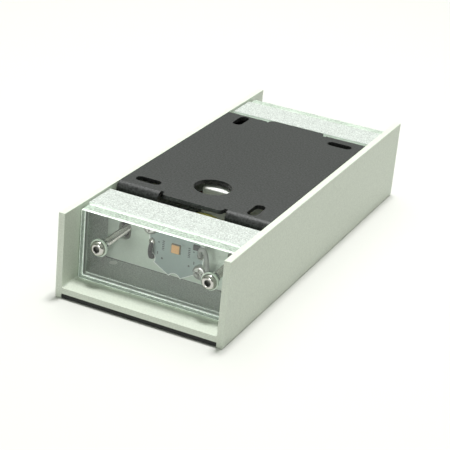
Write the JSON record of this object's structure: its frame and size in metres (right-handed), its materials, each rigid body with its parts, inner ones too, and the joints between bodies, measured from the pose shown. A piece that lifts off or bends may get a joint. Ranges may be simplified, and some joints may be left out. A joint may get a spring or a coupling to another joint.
{
  "type": "up-and-down wall light",
  "caption": "Rectangular aluminium wall light with an LED chamber behind thick clear glass at each end and a black steel wall bracket with a cable hole.",
  "frame": {"origin": "centre of the footprint, on the surface the light's front rests on", "axes": "+X across the light, +Y along it from the lower to the upper chamber, +Z towards the wall side"},
  "size_m": [0.065, 0.16, 0.032],
  "materials": {
    "satin_aluminium": "fine satin, clear anodised",
    "black_panel": "semi-gloss black",
    "black_powder_coat": "fine-textured matt powder coat",
    "clear_glass": "clear float glass with ground edges",
    "grey_silicone": "matt silicone",
    "blasted_aluminium": "bead blasted",
    "mill_aluminium": "mill finish",
    "zinc_steel": "bright zinc plated",
    "stainless_steel": "polished stainless",
    "white_nylon": "natural nylon",
    "board_mask": "grey solder mask on aluminium",
    "led_ceramic": "ceramic",
    "led_phosphor": "yellow phosphor under clear silicone",
    "solder": "tin solder",
    "lead_insulation": "one dark and one pale silicone-covered wire",
    "white_case": "moulded white",
    "green_board": "green solder mask",
    "ferrite": "dark ferrite and tape",
    "capacitor_sleeve": "shrink sleeve",
    "terminal_nylon": "moulded white nylon",
    "brass": "machined",
    "tinned_copper": "tinned",
    "mains_insulation": "one brown and one blue wire",
    "earth_insulation": "yellow wire"
  },
  "bodies": {
    "light": {"housing": "satin_aluminium", "front_panel": "black_panel", "lower_window_gasket": "grey_silicone", "lower_chamber_frame": "blasted_aluminium", "lower_back_plate": "mill_aluminium", "lower_clamp_bar": "zinc_steel", "lower_board_screws": "zinc_steel", "lower_frame_screws": "zinc_steel", "lower_led_board": "board_mask", "lower_board_diode": "ferrite", "lower_led_base": "led_ceramic", "lower_led_face": "led_phosphor", "lower_solder_joints": "solder", "lower_led_leads": "lead_insulation", "upper_window_gasket": "grey_silicone", "upper_chamber_frame": "blasted_aluminium", "upper_back_plate": "mill_aluminium", "upper_clamp_bar": "zinc_steel", "upper_board_screws": "zinc_steel", "upper_frame_screws": "zinc_steel", "upper_led_board": "board_mask", "upper_board_diode": "ferrite", "upper_led_base": "led_ceramic", "upper_led_face": "led_phosphor", "upper_solder_joints": "solder", "upper_led_leads": "lead_insulation", "driver_case": "white_case", "driver_lid": "white_case", "driver_board": "green_board", "driver_transformer": "ferrite", "driver_capacitors": "capacitor_sleeve", "driver_screws": "zinc_steel", "terminal_mount_screws": "zinc_steel", "earth_screw": "zinc_steel", "terminal_screws": "zinc_steel", "terminal_block": "terminal_nylon", "terminal_clamps": "brass", "earth_terminal": "tinned_copper", "input_leads": "mains_insulation", "earth_wire": "earth_insulation"},
    "bracket": {"wall_bracket": "black_powder_coat"},
    "lower_window": {"lower_window_glass": "clear_glass", "lower_window_screws": "stainless_steel", "lower_screw_washers": "white_nylon"},
    "upper_window": {"upper_window_glass": "clear_glass", "upper_window_screws": "stainless_steel", "upper_screw_washers": "white_nylon"}
  },
  "joints": [
    {"name": "bracket_lift", "type": "slide", "parent": "light", "child": "bracket", "axis": [0, 0, 1], "range_m": [0, 0.025]},
    {"name": "lower_window_out", "type": "slide", "parent": "light", "child": "lower_window", "axis": [0, -1, 0], "range_m": [0, 0.032]},
    {"name": "upper_window_out", "type": "slide", "parent": "light", "child": "upper_window", "axis": [0, 1, 0], "range_m": [0, 0.032]}
  ]
}
